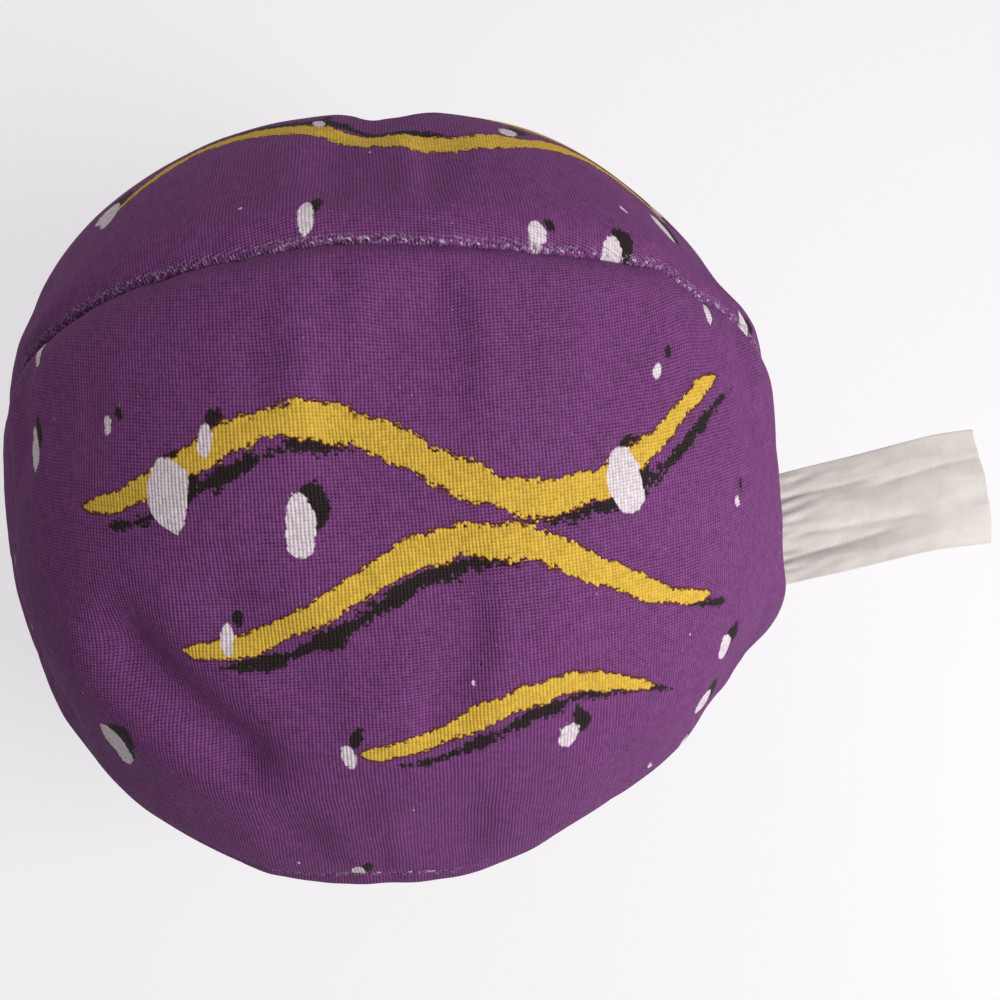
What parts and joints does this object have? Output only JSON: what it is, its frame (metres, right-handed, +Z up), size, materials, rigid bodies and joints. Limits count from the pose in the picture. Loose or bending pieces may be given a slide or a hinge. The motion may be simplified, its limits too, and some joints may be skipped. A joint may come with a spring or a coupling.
{
  "type": "pool football",
  "caption": "Soft plump pool ball of printed stretch-knit panels sewn round a bag of foam beads, with a blank ribbon label that flaps at one end.",
  "frame": {"origin": "middle of the flat resting face under the ball", "axes": "+X along the ball's long axis towards the label, +Y to the back, +Z up"},
  "size_m": [0.2073, 0.1502, 0.1486],
  "materials": {
    "printed_knit": "matte stretch knit, printed",
    "seam_thread": "spun polyester thread",
    "bag_cloth": "thin matte nonwoven",
    "foam_beads": "loose expanded foam beads",
    "satin_ribbon": "soft satin"
  },
  "bodies": {
    "ball": {"top_panel": "printed_knit", "back_panel": "printed_knit", "base_panel": "printed_knit", "front_panel": "printed_knit", "top_seam_thread": "seam_thread", "under_seam_thread": "seam_thread", "perimeter_seam_thread": "seam_thread", "closing_stitch": "seam_thread", "bag_front_half": "bag_cloth", "bag_back_half": "bag_cloth", "bag_thread": "bag_cloth", "bead_fill": "foam_beads", "label_tail": "satin_ribbon"},
    "label": {"label_tag": "satin_ribbon"}
  },
  "joints": [
    {"name": "label_flap", "type": "hinge", "parent": "ball", "child": "label", "pos_m": [0.07461, -0.0141, 0.07863], "axis": [-0.2522, -0.9093, 0.331], "range_deg": [-70, 70], "stiffness_Nm_per_rad": 0.003}
  ]
}
